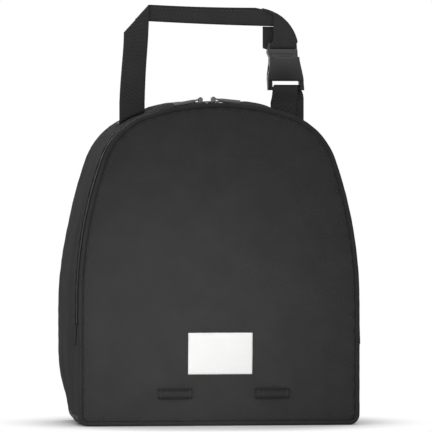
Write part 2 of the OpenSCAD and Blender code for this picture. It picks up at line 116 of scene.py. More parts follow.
def stations(line):
    """Distance of each point of a line from its start."""
    marks = [0]
    for a, b in zip(line, line[1:]):
        marks.append(marks[-1] + (b - a).length)
    return marks


def along(line, marks, distance):
    """The point of a line at a distance from its start, by the marks of its points."""
    i = min(max(bisect_right(marks, distance) - 1, 0), len(line) - 2)
    return line[i].lerp(line[i + 1], (distance - marks[i]) / (marks[i + 1] - marks[i]))


def whole_seam(depth, y):
    """The whole closed outline in front view, at depth y, with a point at each seam step."""
    half = half_outline(depth)
    marks = stations(half)
    count = round(marks[-1] / seam_step)
    right = [along(half, marks, marks[-1] * i / count) for i in range(count + 1)]
    left = [Vector((-p.x, p.y)) for p in right[-2:0:-1]]
    return [Vector((p.x, y, p.y)) for p in right + left]


def sheet_grid(columns, rows, place):
    """A grid of cloth. For a column and row, place gives a point and its spot on the flat cloth."""
    bm = bmesh.new()
    bmesh.ops.create_grid(bm, x_segments=columns, y_segments=rows, size=1)
    flat = bm.loops.layers.uv.new("flat")
    spots = {}
    for v in bm.verts:
        v.co, spots[v] = place(round((v.co.x + 1) / 2 * columns), round((v.co.y + 1) / 2 * rows))
    for face in bm.faces:
        for loop in face.loops:
            loop[flat].uv = spots[loop.vert]
    return bm


def panel_sheet(depth, y, columns, rows):
    """A panel as a patch between four stretches of the outline: base, crown and two sides."""
    half = half_outline(depth)
    marks = stations(half)
    top, low, end = marks[PATCH_TOP], marks[PATCH_LOW], marks[-1]

    def spot(distance, hand):
        p = along(half, marks, distance)
        return Vector((hand * p.x, p.y))

    def place(i, j):
        u, v = i / columns, j / rows
        hand = 1 if u >= 0.5 else -1
        share = abs(2 * u - 1)
        edges = ((1 - v) * spot(end - share * (end - low), hand) + v * spot(share * top, hand)
                 + (1 - u) * spot(low + (top - low) * v, -1) + u * spot(low + (top - low) * v, 1))
        corners = ((1 - v) * ((1 - u) * spot(low, -1) + u * spot(low, 1))
                   + v * ((1 - u) * spot(top, -1) + u * spot(top, 1)))
        flat = edges - corners
        return (flat.x, y, flat.y), flat

    return sheet_grid(columns, rows, place)


def turn_over(bm):
    """Turns the face of a sheet to its other side."""
    bmesh.ops.reverse_faces(bm, faces=bm.faces[:])


def make(name, bm, *materials):
    """Turns a bmesh into a smooth object of that name with those materials."""
    mesh = bpy.data.meshes.new(name)
    bm.to_mesh(mesh)
    bm.free()
    mesh.shade_smooth()
    for material in materials:
        mesh.materials.append(material)
    obj = bpy.data.objects.new(name, mesh)
    bpy.context.scene.collection.objects.link(obj)
    return obj


def swell(obj, held, rise):
    """Blender's cloth pushes a sheet out between its held points, as far as rise at the most."""
    scene = bpy.context.scene
    rest = [v.co.copy() for v in obj.data.vertices]
    sewn = obj.vertex_groups.new(name="sewn")
    sewn.add(held, 1.0, "REPLACE")
    cloth = obj.modifiers.new("cloth", "CLOTH")
    cloth.settings.quality = 6
    cloth.settings.mass = 0.2
    cloth.settings.tension_stiffness = 12
    cloth.settings.compression_stiffness = 12
    cloth.settings.shear_stiffness = 4
    cloth.settings.bending_stiffness = 0.4
    cloth.settings.use_pressure = True
    cloth.settings.uniform_pressure_force = 9
    cloth.settings.vertex_group_mass = "sewn"
    cloth.settings.effector_weights.gravity = 0
    cloth.collision_settings.use_collision = False
    cloth.point_cache.frame_start = 1
    cloth.point_cache.frame_end = SWELL_STEPS
    for step in range(1, SWELL_STEPS + 1):
        scene.frame_set(step)
    swollen = obj.evaluated_get(bpy.context.evaluated_depsgraph_get()).data
    moves = [v.co - r for v, r in zip(swollen.vertices, rest)]
    obj.modifiers.remove(cloth)
    obj.vertex_groups.remove(sewn)
    scene.frame_set(1)
    share = min(1, rise / max(m.length for m in moves))
    for v, r, move in zip(obj.data.vertices, rest, moves):
        v.co = r + move * share


def refine(obj):
    """Splits every face of a sheet in four and eases the new points between the old ones."""
    bm = bmesh.new()
    bm.from_mesh(obj.data)
    bmesh.ops.subdivide_edges(bm, edges=bm.edges[:], cuts=1, use_grid_fill=True)
    inner = [v for v in bm.verts if not v.is_boundary]
    for _ in range(2):
        bmesh.ops.smooth_vert(bm, verts=inner, factor=0.5, use_axis_x=True, use_axis_y=True,
                              use_axis_z=True)
    bm.to_mesh(obj.data)
    bm.free()
    obj.data.shade_smooth()


def crumple(obj, seam, lump, lump_size, pucker, pucker_size, crease):
    """Gives cloth the soft lumps of what is behind it, long shallow creases, and puckers at seams."""
    near_seam = kdtree.KDTree(len(seam))
    for i, point in enumerate(seam):
        near_seam.insert(point, i)
    near_seam.balance()
    moves = []
    for v in obj.data.vertices:
        found, i, gap = near_seam.find(v.co)
        soft = noise.noise(v.co / lump_size) + 0.4 * noise.noise(v.co * 2.7 / lump_size)
        drawn = Vector((v.co.x + 0.4 * v.co.z, v.co.y, 0.45 * v.co.z - 0.2 * v.co.x)) / crease_size
        soft = lump * soft - crease * (1 - abs(noise.noise(drawn)))**8
        drift = 5 * noise.noise(found / pucker_drift)
        wave = math.sin(2 * math.pi * i * seam_step / pucker_size + drift)
        fade = math.exp(-gap / (0.8 * pucker_size))
        moves.append(v.normal * (soft * min(1, gap / seam_clear) + pucker * wave * fade))
    for v, move in zip(obj.data.vertices, moves):
        v.co += move


def ease(share):
    """A smooth step from 0 to 1."""
    share = min(max(share, 0), 1)
    return share * share * (3 - 2 * share)


def draw_in(obj):
    """Draws the rear left corner of the base in, where the soft wall has settled."""
    for v in obj.data.vertices:
        low = 1 - ease(v.co.z / slump_h)
        left = ease((-v.co.x - slump_x) / slump_w)
        v.co.x += slump * low * left * ease((v.co.y - slump_y) / slump_d)


def thicken(obj, thickness, offset=-1):
    """Gives a sheet its thickness: behind its face, or half on each side where offset is 0."""
    body = obj.modifiers.new("thickness", "SOLIDIFY")
    body.thickness = thickness
    body.offset = offset
    return body


def linear(code):
    """An sRGB hex colour as the linear colour that a node takes."""
    parts = [int(code[i:i + 2], 16) / 255 for i in (0, 2, 4)]
    return [p / 12.92 if p <= 0.04045 else ((p + 0.055) / 1.055)**2.4 for p in parts] + [1]


def add(tree, kind, inputs, **settings):
    """Adds a node with its settings. An input given as a socket is linked, any other is set."""
    made = tree.nodes.new("ShaderNode" + kind)
    for name, value in settings.items():
        setattr(made, name, value)
    for name, value in inputs.items():
        if isinstance(value, bpy.types.NodeSocket):
            tree.links.new(value, made.inputs[name])
        else:
            made.inputs[name].default_value = value
    return made


def surface(name, **sockets):
    """A material of that name with the given constants on its shader, its tree and its shader."""
    material = bpy.data.materials.new(name)
    material.use_nodes = True
    shader = material.node_tree.nodes["Principled BSDF"]
    for socket, value in sockets.items():
        shader.inputs[socket.replace("_", " ")].default_value = value
    return material, material.node_tree, shader


def mixed(tree, share, first, second):
    """A colour between two hex colours, by a share from a socket."""
    mix = add(tree, "Mix", {0: share, 6: linear(first), 7: linear(second)}, data_type="RGBA")
    return mix.outputs[2]


def threads(tree, across, lengthwise):
    """Height of a plain weave on the flat cloth, where threads of those widths cross."""
    flat = add(tree, "UVMap", {}, uv_map="flat").outputs["UV"]
    parts = add(tree, "SeparateXYZ", {0: flat})
    waves = []
    for axis, width in (("X", across), ("Y", lengthwise)):
        turn = add(tree, "Math", {0: parts.outputs[axis], 1: math.pi / width}, operation="MULTIPLY")
        waves.append(add(tree, "Math", {0: turn.outputs[0]}, operation="SINE").outputs[0])
    return add(tree, "Math", {0: waves[0], 1: waves[1]}, operation="MULTIPLY").outputs[0], flat


def woven(name, dark, light, across, lengthwise, lift, roughness, gloss):
    """Woven synthetic cloth: threads that cross, uneven in tone over a few centimetres."""
    material, tree, shader = surface(name, Roughness=roughness, Specular_IOR_Level=gloss)
    height, flat = threads(tree, across, lengthwise)
    cloudy = add(tree, "TexNoise", {"Vector": flat, "Scale": 1 / cloud_size, "Detail": 5,
                                    "Roughness": 0.6})
    thready = add(tree, "MapRange", {"Value": height, "From Min": -1, "To Min": -0.22, "To Max": 0.22})
    tone = add(tree, "Math", {0: cloudy.outputs[0], 1: thready.outputs[0]}, operation="ADD")
    tree.links.new(mixed(tree, tone.outputs[0], dark, light), shader.inputs["Base Color"])
    bump = add(tree, "Bump", {"Height": height, "Strength": 0.5, "Distance": lift})
    tree.links.new(bump.outputs[0], shader.inputs["Normal"])
    return material


# Woven polyester gives the eye a soft even black with a faint grain. Real threads are 0.4 mm
# apart, and they are drawn at 1.1 mm so that they show.
polyester = woven("woven_polyester", "353535", "414141", across=0.0011, lengthwise=0.0011,
                  lift=0.0002, roughness=0.85, gloss=0.01)

panels = []
for name, hand, rise in (("front_cloth", -1, front_rise), ("back_cloth", 1, back_rise)):
    bm = panel_sheet(panel_depth, hand * panel_y, PANEL_COLUMNS, PANEL_ROWS)
    if hand > 0:
        turn_over(bm)
    held = [v.index for v in bm.verts if v.is_boundary]
    panel = make(name, bm, polyester)
    swell(panel, held, rise)
    refine(panel)
    crumple(panel, whole_seam(panel_depth, hand * panel_y), lump=0.0012, lump_size=0.055,
            pucker=0.0004, pucker_size=0.010, crease=0.0005)
    draw_in(panel)
    thicken(panel, cloth_t)
    panels.append(panel)
front_cloth, back_cloth = panels
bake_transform(front_cloth)
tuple(fold_start)
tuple(fold_end)
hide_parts("front_panel", "flap_panel")
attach(back_cloth, "bag")
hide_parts("back_panel")


# Side band: one long strip of the same cloth from the base up one side, over the crown and down
# the other, sewn to the piping along both edges. Above the fold it is cut back for the zip.
# It is fuller low on the sides, and on the crown beside the handle's feet.
band_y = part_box("side_band")[1].y
zip_lap = 0.003
band_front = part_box("zip_tape_rear")[1].y - zip_lap
band_rise = 0.0032
foot_room, foot_ease = 0.003, 0.006
puff_edge = 0.015
crown_puff = 0.0036
crown_from, crown_grow, crown_until, crown_fall = 0.004, 0.026, 0.040, 0.017
side_puff = 0.0034
side_grow, side_until, side_fall = 0.06, 0.11, 0.09
arch = half_outline(0)
arch_marks = stations(arch)
fold_s = arch_marks[SIDE_END] + side_z - fold_z
band_s = arch_marks[BASE_TOP]
feet = [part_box("anchor_left"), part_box("anchor_right")]


def spread(start, end, steps):
    """Even places from start to end."""
    return [start + (end - start) * i / steps for i in range(steps + 1)]


def arch_places(end, low_steps, zip_steps):
    """Places over the arch from end to end, with one at each end of the zip."""
    return (spread(-end, -fold_s, low_steps)[:-1] + spread(-fold_s, fold_s, zip_steps)[:-1]
            + spread(fold_s, end, low_steps))


def arch_sheet(depth, places, rows):
    """Cloth along the arch at a depth. places run from left to right over the crown, rows to the back."""
    inner = half_outline(depth)

    def place(i, j):
        p = along(inner, arch_marks, abs(places[i]))
        return (math.copysign(p.x, places[i]), rows[j], p.y), (places[i], rows[j])

    return sheet_grid(len(places) - 1, len(rows) - 1, place)


def cut_front(bm, y):
    """Takes away the cloth in front of y above the fold line."""
    gone = [f for f in bm.faces
            if f.calc_center_median().y < y and f.calc_center_median().z > fold_z]
    bmesh.ops.delete(bm, geom=gone, context="FACES")


def off_feet(co):
    """How far a point is from the handle's feet, seen from above."""
    return min(max(lo.x - co.x, co.x - hi.x, lo.y - co.y, co.y - hi.y) for lo, hi in feet)


def finished(obj):
    """The finished surface of a piece, to lay other pieces on."""
    return BVHTree.FromObject(obj, bpy.context.evaluated_depsgraph_get())


band_rows = spread(-band_y, band_front, 5)[:-1] + spread(band_front, band_y, 20)
bm = arch_sheet(0, arch_places(band_s, 16, 124), band_rows)
cut_front(bm, band_front)
held = [v.index for v in bm.verts
        if v.is_boundary or (v.co.z > shoulder.y and off_feet(v.co) < foot_room)]
side_cloth = make("side_cloth", bm, polyester)
swell(side_cloth, held, band_rise)
refine(side_cloth)
for v in side_cloth.data.vertices:
    deep = ease((v.co.y - band_front) / puff_edge) * ease((band_y - v.co.y) / puff_edge)
    if v.co.z > shoulder.y:
        out = abs(v.co.x)
        across = ease((out - crown_from) / crown_grow) * (1 - ease((out - crown_until) / crown_fall))
        v.co.z += crown_puff * across * deep * ease((off_feet(v.co) - foot_room) / foot_ease)
    level = ease(v.co.z / side_grow) * (1 - ease((v.co.z - side_until) / side_fall))
    v.co.x += math.copysign(side_puff * level * deep, v.co.x)
band_seams = whole_seam(0, band_y) + [p for p in whole_seam(0, band_front) if p.z > fold_z]
crumple(side_cloth, band_seams, lump=0.0007, lump_size=0.040, pucker=0.0003, pucker_size=0.011,
        crease=0.0006)
draw_in(side_cloth)
thicken(side_cloth, cloth_t)
band_surface = finished(side_cloth)
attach(side_cloth, "bag")
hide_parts("side_band")


# Base: a strip of heavier coated cloth under the board, turned up at both bottom corners and sewn
# to the lower ends of the side band. It is flat where it stands on the floor.
base_half = arch_marks[-1] - band_s
base_lift = 0.0002
base_places = spread(-base_half, base_half, 72)
base_rows = spread(-band_y, band_y, 24)

# Coated polyester gives the eye a black a little glossier than the panels. Its threads are drawn
# 1.6 mm apart, about twice as coarse as they are, so that they show.
heavy_polyester = woven("coated_polyester", "28282a", "363638", across=0.0016, lengthwise=0.0016,
                        lift=0.00025, roughness=0.7, gloss=0.12)


def base_place(i, j):
    """The base's strip, measured from the middle of the base to its turned-up ends."""
    t = base_places[i]
    p = along(arch, arch_marks, arch_marks[-1] - abs(t))
    return (math.copysign(p.x, t), base_rows[j], p.y + base_lift), (t, base_rows[j])


bm = sheet_grid(len(base_places) - 1, len(base_rows) - 1, base_place)
turn_over(bm)
base_cloth = make("base_cloth", bm, heavy_polyester)
draw_in(base_cloth)
thicken(base_cloth, cloth_t)
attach(base_cloth, "bag")
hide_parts("base_panel")


# Piping: a cord wrapped in a strip of cloth cut on the bias, sewn into both seams of the band.
# The front one crosses the fold line.
piping_r = (half_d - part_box("back_piping")[0].y) / 2
PIPING_SIDES = 12
uneven, uneven_size = 0.07, 0.006
MERGE_GAP = 1e-6
rearward = Vector((0, 1, 0))

# Bias cloth gives the eye the panels' black, a shade darker, with its threads aslant on the cord.
bias_cloth = woven("bias_cut_polyester", "313131", "3d3d3d", across=0.0012, lengthwise=0.0012,
                   lift=0.0002, roughness=0.85, gloss=0.01)


def close_tube(bm):
    """Joins a sheet that was rolled up, closes the ends that are open and turns its faces out."""
    bmesh.ops.remove_doubles(bm, verts=bm.verts[:], dist=MERGE_GAP)
    bmesh.ops.holes_fill(bm, edges=[e for e in bm.edges if e.is_boundary], sides=0)
    bmesh.ops.recalc_face_normals(bm, faces=bm.faces[:])


def piping(name, y):
    """The wrapped cord round the whole outline, a little uneven along its length."""
    line = whole_seam(piping_r, y)[::2]

    def place(i, j):
        k = i % len(line)
        run = (line[(k + 1) % len(line)] - line[k - 1]).normalized()
        turn = 2 * math.pi * j / PIPING_SIDES
        around = run.cross(rearward) * math.cos(turn) + rearward * math.sin(turn)
        radius = piping_r * (1 + uneven * noise.noise(line[k] / uneven_size + around))
        length, girth = i * 2 * seam_step, piping_r * turn
        return line[k] + around * radius, (length + girth, girth - length)

    bm = sheet_grid(len(line), PIPING_SIDES, place)
    close_tube(bm)
    return make(name, bm, bias_cloth)


front_trim = piping("front_trim", piping_r - half_d)
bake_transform(front_trim)
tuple(fold_start)
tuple(fold_end)
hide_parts("front_piping", "flap_piping")
back_trim = piping("back_trim", half_d - piping_r)
draw_in(back_trim)
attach(back_trim, "bag")
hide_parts("back_piping")


# Walls inside the cloth: closed-cell foam wrapped in a pale grey film lining. The front wall runs
# across the fold line; the others and the base stand on the board and stay with the bag.
wall_depth = 0.0045
wall_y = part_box("back_lining")[0].y
wall_t = 0.0062
wall_clear = 0.001
WALL_COLUMNS, WALL_ROWS = 44, 50
band_wall_depth = 0.0081
lip_gap, wall_gap, floor_gap = 0.0003, 0.0023, 0.0006
lip_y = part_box("zip_tape_rear")[1].y + lip_gap
wall_s = band_s - wall_gap
floor_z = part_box("base_lining")[1].z
floor_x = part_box("base_lining")[1].x - floor_gap
FLOOR_COLUMNS, FLOOR_ROWS = 40, 20


def grained(name, dark, light, size, detail=2, distortion=0, **sockets):
    """A finish of two tones in a grain of that size: its material, tree, shader and the grain."""
    material, tree, shader = surface(name, **sockets)
    place_in = add(tree, "TexCoord", {}).outputs["Object"]
    grain = add(tree, "TexNoise", {"Vector": place_in, "Scale": 1 / size, "Detail": detail,
                                   "Distortion": distortion}).outputs[0]
    tree.links.new(mixed(tree, grain, dark, light), shader.inputs["Base Color"])
    return material, tree, shader, grain


# Lining film gives the eye a pale satin sheen with shallow creases a centimetre or two apart.
film, tree, shader, crease = grained("peva_film", "a9acae", "c3c6c8", 0.0167, 4, 0.6,
                                     Roughness=0.36, Specular_IOR_Level=0.5)
bump = add(tree, "Bump", {"Height": crease, "Strength": 0.6, "Distance": 0.0012})
tree.links.new(bump.outputs[0], shader.inputs["Normal"])

# Closed-cell foam gives the eye a dull charcoal with fine cells, seen only at the walls' edges. Its
# charcoal is partly painted shade: it is made dark so that where it shows in the gaps between the
# cloth pieces it looks like the shade there. The cells are drawn 1.1 mm across, about twice as
# coarse as they are, so that they show.
foam, tree, shader = surface("foam_with_painted_gap_shade", Roughness=0.9, Specular_IOR_Level=0.1)
place_in = add(tree, "TexCoord", {}).outputs["Object"]
cells = add(tree, "TexVoronoi", {"Vector": place_in, "Scale": 1 / 0.0011})
tree.links.new(mixed(tree, cells.outputs["Distance"], "222223", "303031"), shader.inputs["Base Color"])


def soften(obj, width, angle):
    """Rounds the edges of a piece that turn by more than an angle in degrees."""
    edge = obj.modifiers.new("edge", "BEVEL")
    edge.width = width
    edge.segments = 2
    edge.limit_method = "ANGLE"
    edge.angle_limit = math.radians(angle)


def wall(name, bm, seam, *nodes):
    """Foam and film as one soft wall behind a lined face, which looks into the bag."""
    obj = make(name, bm, film, foam)
    crumple(obj, seam, lump=0.0007, lump_size=0.045, pucker=0.0003, pucker_size=0.012, crease=0.0004)
    draw_in(obj)
    body = thicken(obj, wall_t)
    # The walls' rims and backs take the foam, whose dark colour is partly painted shade for the gaps.
    body.material_offset = body.material_offset_rim = 1
    soften(obj, 0.0012, 30)
    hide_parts(*nodes)
    return obj


def base_wall_place(i, j):
    """The lining's floor, clear of the walls that stand round it."""
    x = spread(-floor_x, floor_x, FLOOR_COLUMNS)[i]
    y = spread(wall_clear - wall_y, wall_y - wall_clear, FLOOR_ROWS)[j]
    return (x, y, floor_z), (x, y)


bm = panel_sheet(wall_depth, -wall_y, WALL_COLUMNS, WALL_ROWS)
turn_over(bm)
front_wall = wall("front_wall", bm, whole_seam(wall_depth, -wall_y), "front_foam", "front_lining",
                  "flap_foam", "flap_lining")
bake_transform(front_wall)
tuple(fold_start)
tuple(fold_end)
bm = panel_sheet(wall_depth, wall_y, WALL_COLUMNS, WALL_ROWS)
back_wall = wall("back_wall", bm, whole_seam(wall_depth, wall_y), "back_foam", "back_lining")
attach(back_wall, "bag")
side_rows = spread(wall_clear - wall_y, lip_y, 4)[:-1] + spread(lip_y, wall_y - wall_clear, 18)
bm = arch_sheet(band_wall_depth, arch_places(wall_s, 14, 110), side_rows)
cut_front(bm, lip_y)
turn_over(bm)
side_wall = wall("side_wall", bm, whole_seam(band_wall_depth, wall_y), "band_foam", "band_lining")
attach(side_wall, "bag")
bm = sheet_grid(FLOOR_COLUMNS, FLOOR_ROWS, base_wall_place)
no_seam = [Vector((0, 0, -1))]
base_wall = wall("base_wall", bm, no_seam, "base_foam", "base_lining")
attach(base_wall, "bag")


# Base board: a stiff sheet cut to the base and laid loose under the foam. Its rear left corner is
# drawn in with the cloth round it.
# Polypropylene gives the eye a dull grey with a fine grain.
board = grained("polypropylene_board", "6a6a6c", "7c7c7e", 0.00143, 3, Roughness=0.55)[0]
board_slices = ((0, spread(-0.105, -slump_x, 8)), (1, spread(slump_y, 0.045, 8)))


def rounded_copy(name, node, body_name, radius, material, shape=None, slices=(), plates=()):
    """A copy of a CAD solid with rounded edges. Plates are added, then it is sliced and shaped."""
    bm = bmesh.new()
    bm.from_mesh(frame["nodes"][node].data)
    bmesh.ops.remove_doubles(bm, verts=bm.verts[:], dist=MERGE_GAP)
    bmesh.ops.dissolve_limit(bm, angle_limit=math.radians(1), verts=bm.verts[:], edges=bm.edges[:])
    sharp = [e for e in bm.edges if e.is_manifold and e.calc_face_angle() > math.radians(28)]
    bmesh.ops.bevel(bm, geom=sharp, offset=radius, affect="EDGES", segments=2, profile=0.5,
                    material=-1, clamp_overlap=True)
    for lo, hi in plates:
        at = Matrix.Translation((lo + hi) / 2) @ Matrix.Diagonal((*(hi - lo), 1))
        bmesh.ops.create_cube(bm, size=1, matrix=at)
    for axis, places in slices:
        normal = Vector([1 if i == axis else 0 for i in range(3)])
        for place in places:
            bmesh.ops.bisect_plane(bm, geom=bm.verts[:] + bm.edges[:] + bm.faces[:], dist=MERGE_GAP,
                                   plane_co=normal * place, plane_no=normal)
    if shape:
        for v in bm.verts:
            v.co = shape(v.co)
    obj = make(name, bm, material)
    obj.data.set_sharp_from_angle(angle=math.radians(40))
    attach(obj, body_name)
    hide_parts(node)
    return obj


stiffener = rounded_copy("stiffener", "base_board", "bag", 0.0004, board, slices=board_slices)
draw_in(stiffener)


# Zip: two woven tapes and a nylon coil round the arch from fold to fold. The rear tape and its
# row of coil belong to the bag, where the band is sewn on the tape.
zip_gap = 0.0002
zip_s = fold_s - zip_gap
tape_depth, tape_t = 0.0015, 0.0007
coil_outside, coil_inside = half_outline(0.00025), half_outline(0.00145)
coil_reach = 0.0011
coil_slant = math.radians(12)
tooth_pitch, tooth_share, tooth_round = 0.0016, 0.62, 0.0003
twist_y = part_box("zip_coil_front")[1].y
twist_start, twist_end = (0, twist_y, fold_z), (0, twist_y - 0.011, fold_z + 0.0066)

# Zip tape gives the eye a dull black, drawn as a plain weave of 0.9 by 1.4 mm so that it shows.
# Nylon coil gives it a row of small satin bars with a soft highlight.
tape_cloth = woven("zip_tape", "1f1f21", "303032", across=0.0009, lengthwise=0.0014, lift=0.00015,
                   roughness=0.75, gloss=0.08)
nylon = grained("nylon_coil", "222224", "343436", 0.00111, Roughness=0.5, Specular_IOR_Level=0.25)[0]


def carry(piece, body_name):
    """The bag's half of the zip rides on the bag. The flap's half is fixed where it lies."""
    if body_name == "flap":
        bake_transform(piece)
        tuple(twist_start)
        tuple(twist_end)
    else:
        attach(piece, body_name)


def zip_half(row, body_name, lead):
    """One tape and its row of coil, which reaches towards the other row, with their body."""
    tape_lo, tape_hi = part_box("zip_tape_" + row)
    bm = arch_sheet(tape_depth, spread(-zip_s, zip_s, 150), spread(tape_lo.y, tape_hi.y, 6))
    tape = make("zip_tape_of_" + body_name, bm, tape_cloth)
    thicken(tape, tape_t)
    carry(tape, body_name)
    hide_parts("zip_tape_" + row)
    coil_lo, coil_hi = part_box("zip_coil_" + row)
    middle_y = (coil_lo.y + coil_hi.y + lead * coil_reach) / 2
    width = coil_hi.y - coil_lo.y + coil_reach
    teeth = bmesh.new()
    for i in range(int(2 * zip_s / tooth_pitch)):
        s = -zip_s + (i + 0.5 - 0.25 * lead) * tooth_pitch
        hand = math.copysign(1, s)
        top, low = (along(line, arch_marks, abs(s)) for line in (coil_outside, coil_inside))
        out = Vector((hand * (top.x - low.x), 0, top.y - low.y)).normalized()
        at = Vector((hand * (top.x + low.x) / 2, middle_y, (top.y + low.y) / 2))
        turn = Matrix((rearward.cross(out), rearward, out)).transposed().to_4x4()
        slant = Matrix.Rotation(lead * coil_slant, 4, "Z")
        size = Matrix.Diagonal((tooth_share * tooth_pitch, width, (top - low).length, 1))
        bmesh.ops.create_cube(teeth, size=1, matrix=Matrix.Translation(at) @ turn @ slant @ size)
    bmesh.ops.bevel(teeth, geom=teeth.edges[:], offset=tooth_round, affect="EDGES", segments=1,
                    profile=0.5, material=-1)
    coil = make("zip_coil_of_" + body_name, teeth, nylon)
    carry(coil, body_name)
    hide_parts("zip_coil_" + row)


zip_half("front", "flap", 1)
zip_half("rear", "bag", -1)


# Sliders and pulls: two sliders cast in zinc alloy and plated, each with a pull on a pin. Every edge
# is rounded as a casting's is, and the pulls' grips are fuller than their solids.
casting_r = 0.00035
pull_fill, pull_sink = 1.5, 0.0007
pull_neck, pull_grow = 0.0035, 0.003
pull_slices = ((0, spread(-0.031, 0.017, 24)),)

# Plated zinc gives the eye a grey metal, brighter on the flats and duller in the casting's grain.
zinc, tree, shader, cast = grained("plated_zinc", "5a5a5d", "707073", 0.00111, 4, Metallic=1.0)
rough = add(tree, "MapRange", {"Value": cast, "To Min": 0.34, "To Max": 0.52})
tree.links.new(rough.outputs[0], shader.inputs["Roughness"])


def joint_place(name):
    """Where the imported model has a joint."""
    return next(j["pos_m"] for j in frame["joints"] if j["name"] == name)


def pull_shape(hand):
    """Makes a pull's grip fuller, so that it lies close over the zip, and leaves its eye as it is."""
    pin = Vector(joint_place(hand + "_flip"))
    points = [v.co for v in frame["nodes"]["pull_" + hand].data.vertices]
    tip = max(points, key=lambda co: (co - pin).length)
    run = Vector((tip.x - pin.x, 0, tip.z - pin.z)).normalized()
    rise = Vector((-run.z, 0, run.x)) * math.copysign(1, run.x)

    def shape(co):
        full = ease(((co - pin).dot(run) - pull_neck) / pull_grow)
        return co + rise * full * (pull_fill * (co - pin).dot(rise) - pull_sink)

    return shape


for hand in ("left", "right"):
    slider, pull = "slider_" + hand, "pull_" + hand
    rounded_copy("zip_" + slider, slider, slider, casting_r, zinc)
    rounded_copy("zip_" + pull, pull, pull, casting_r, zinc, pull_shape(hand), pull_slices)


# Handle: polypropylene webbing. Each end is a foot sewn to the band behind the line where the
# handle folds down. The left end runs up, turns in a flat diagonal fold and goes on as a grip
# folded in half, then turns down to the buckle and doubles back as a loose tail.
web_t = 0.0015
layer = 0.00078
WEB_COLUMNS = 8
left_lo, left_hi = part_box("anchor_left")
right_lo, right_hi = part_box("anchor_right")
web_w = left_hi.x - left_lo.x
foot_l = left_hi.y
hinge_z = joint_place("handle_swing")[2]
bend_r = 0.002
bend_start, bend_end = (0, 0, hinge_z - 0.0011), (0, 0, hinge_z + 0.0049)
stem_z = bend_end[2] + 0.0005
lean_foot, lean_top, lean_bar, lean_back = -0.0018, 0.0014, 0.0012, 0.0066

# Webbing gives the eye a slightly shiny black with ribs along its length. The ribs are drawn 2.2 mm
# apart and the cross threads 1.3 mm apart, about twice as coarse as they are, so that they show.
webbing = woven("polypropylene_webbing", "343434", "404040", across=0.0022, lengthwise=0.0013,
                lift=0.00025, roughness=0.65, gloss=0.1)


def web_body(obj):
    """Gives flat webbing its thickness and soft edges."""
    thicken(obj, web_t, 0)
    soften(obj, 0.0004, 50)
    return obj


def band_top(x, y):
    """Height of the finished band at a place on the crown."""
    return band_surface.ray_cast(Vector((x, y, 1)), Vector((0, 0, -1)))[0].z


def foot_rows(x):
    """Places of webbing at x: along the foot on the band, round the bend and up past the fold."""
    rows = [(y, band_top(x, y) + web_t / 2) for y in spread(foot_l, bend_r, 10)]
    z0 = rows[-1][1] + bend_r
    for turn in spread(0, math.pi / 2, 4)[1:]:
        rows.append((bend_r - bend_r * math.sin(turn), z0 - bend_r * math.cos(turn)))
    return rows + [(0, z) for z in spread(z0, stem_z, 8)[1:]]


def strap(name, lo, lean, upper, *nodes):
    """A foot and its webbing above the fold. upper gives each column's further places and leans."""
    columns = []
    for i in range(WEB_COLUMNS + 1):
        x = lo.x + web_w * i / WEB_COLUMNS
        columns.append([(x + lean, y, z) for y, z in foot_rows(x + lean)]
                       + [(x + sideways, y, z) for y, z, sideways in upper(i)])
    marks = stations([Vector(p) for p in columns[0]])
    bm = sheet_grid(WEB_COLUMNS, len(marks) - 1,
                    lambda i, j: (columns[i][j], (web_w * i / WEB_COLUMNS, marks[j])))
    obj = web_body(make(name, bm, webbing))
    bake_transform(obj)
    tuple(bend_start)
    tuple(bend_end)
    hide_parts(*nodes)
    return obj


# The grip's lower and upper edges at its left and right ends, and the turns at those ends.
grip_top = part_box("handle_strap")[1].z
grip_left, grip_right = (grip_top - 0.0118, grip_top), (grip_top - 0.0161, grip_top - 0.0020)
turn_cut, turn_r = 0.022, 0.034
forward_from, forward_over = 0.04, 0.03


def left_upper(i):
    """The left drop, up to the diagonal fold and a little in front of the grip there."""
    top = grip_left[1] - turn_cut * (1 - i / WEB_COLUMNS)
    rows = []
    for z in spread(stem_z, top, 28)[1:]:
        sideways = lean_foot + (lean_top - lean_foot) * ease((z - hinge_z) / (top - hinge_z))
        forward = ease((z - grip_left[0] + forward_from) / forward_over)
        rows.append((-3 * layer * forward, z, sideways))
    return rows


# The lower webbing goes round the socket's bar in a loop. Its two layers meet under the loop, and
# the second runs down behind the first to the foot.
bar_in = 0.0014
bar_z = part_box("buckle_socket")[0].z + bar_in
loop_r, loop_lean = 0.0022, 0.0009
throat_z, meet_z, doubled_z = bar_z - 0.0018, bar_z - 0.0045, hinge_z + 0.0085
behind, behind_bend, behind_short = 0.0016, 0.0012, 0.005


def right_upper(i):
    """Up in front, round the buckle's lower bar, down behind and out along the foot again."""
    rows = [(-layer, doubled_z, 0.6 * lean_bar), (-0.0014, meet_z, 0.9 * lean_bar),
            (-loop_r, throat_z, lean_bar)]
    rows += [(-loop_r * math.cos(t), bar_z + loop_r * math.sin(t), lean_bar + loop_lean * t)
             for t in spread(0, math.pi, 10)]
    rows += [(loop_r, throat_z, 0.0052), (0.0018, meet_z, 0.0062)]
    x = right_lo.x + web_w * i / WEB_COLUMNS + lean_back
    foot = [(y, band_top(x, y) + 1.6 * web_t, lean_back)
            for y in spread(behind + behind_bend, foot_l - behind_short, 8)]
    low = foot[0][1] + behind_bend
    rows += [(behind, z, lean_back) for z in spread(doubled_z, low, 8)]
    rows += [(behind + behind_bend * (1 - math.cos(t)), low - behind_bend * math.sin(t), lean_back)
             for t in spread(0, math.pi / 2, 4)[1:-1]]
    return rows + foot


foot_left = strap("handle_foot_left", left_lo, lean_foot, left_upper, "anchor_left")
foot_right = strap("handle_foot_right", right_lo, 0, right_upper, "anchor_right", "buckle_strap")

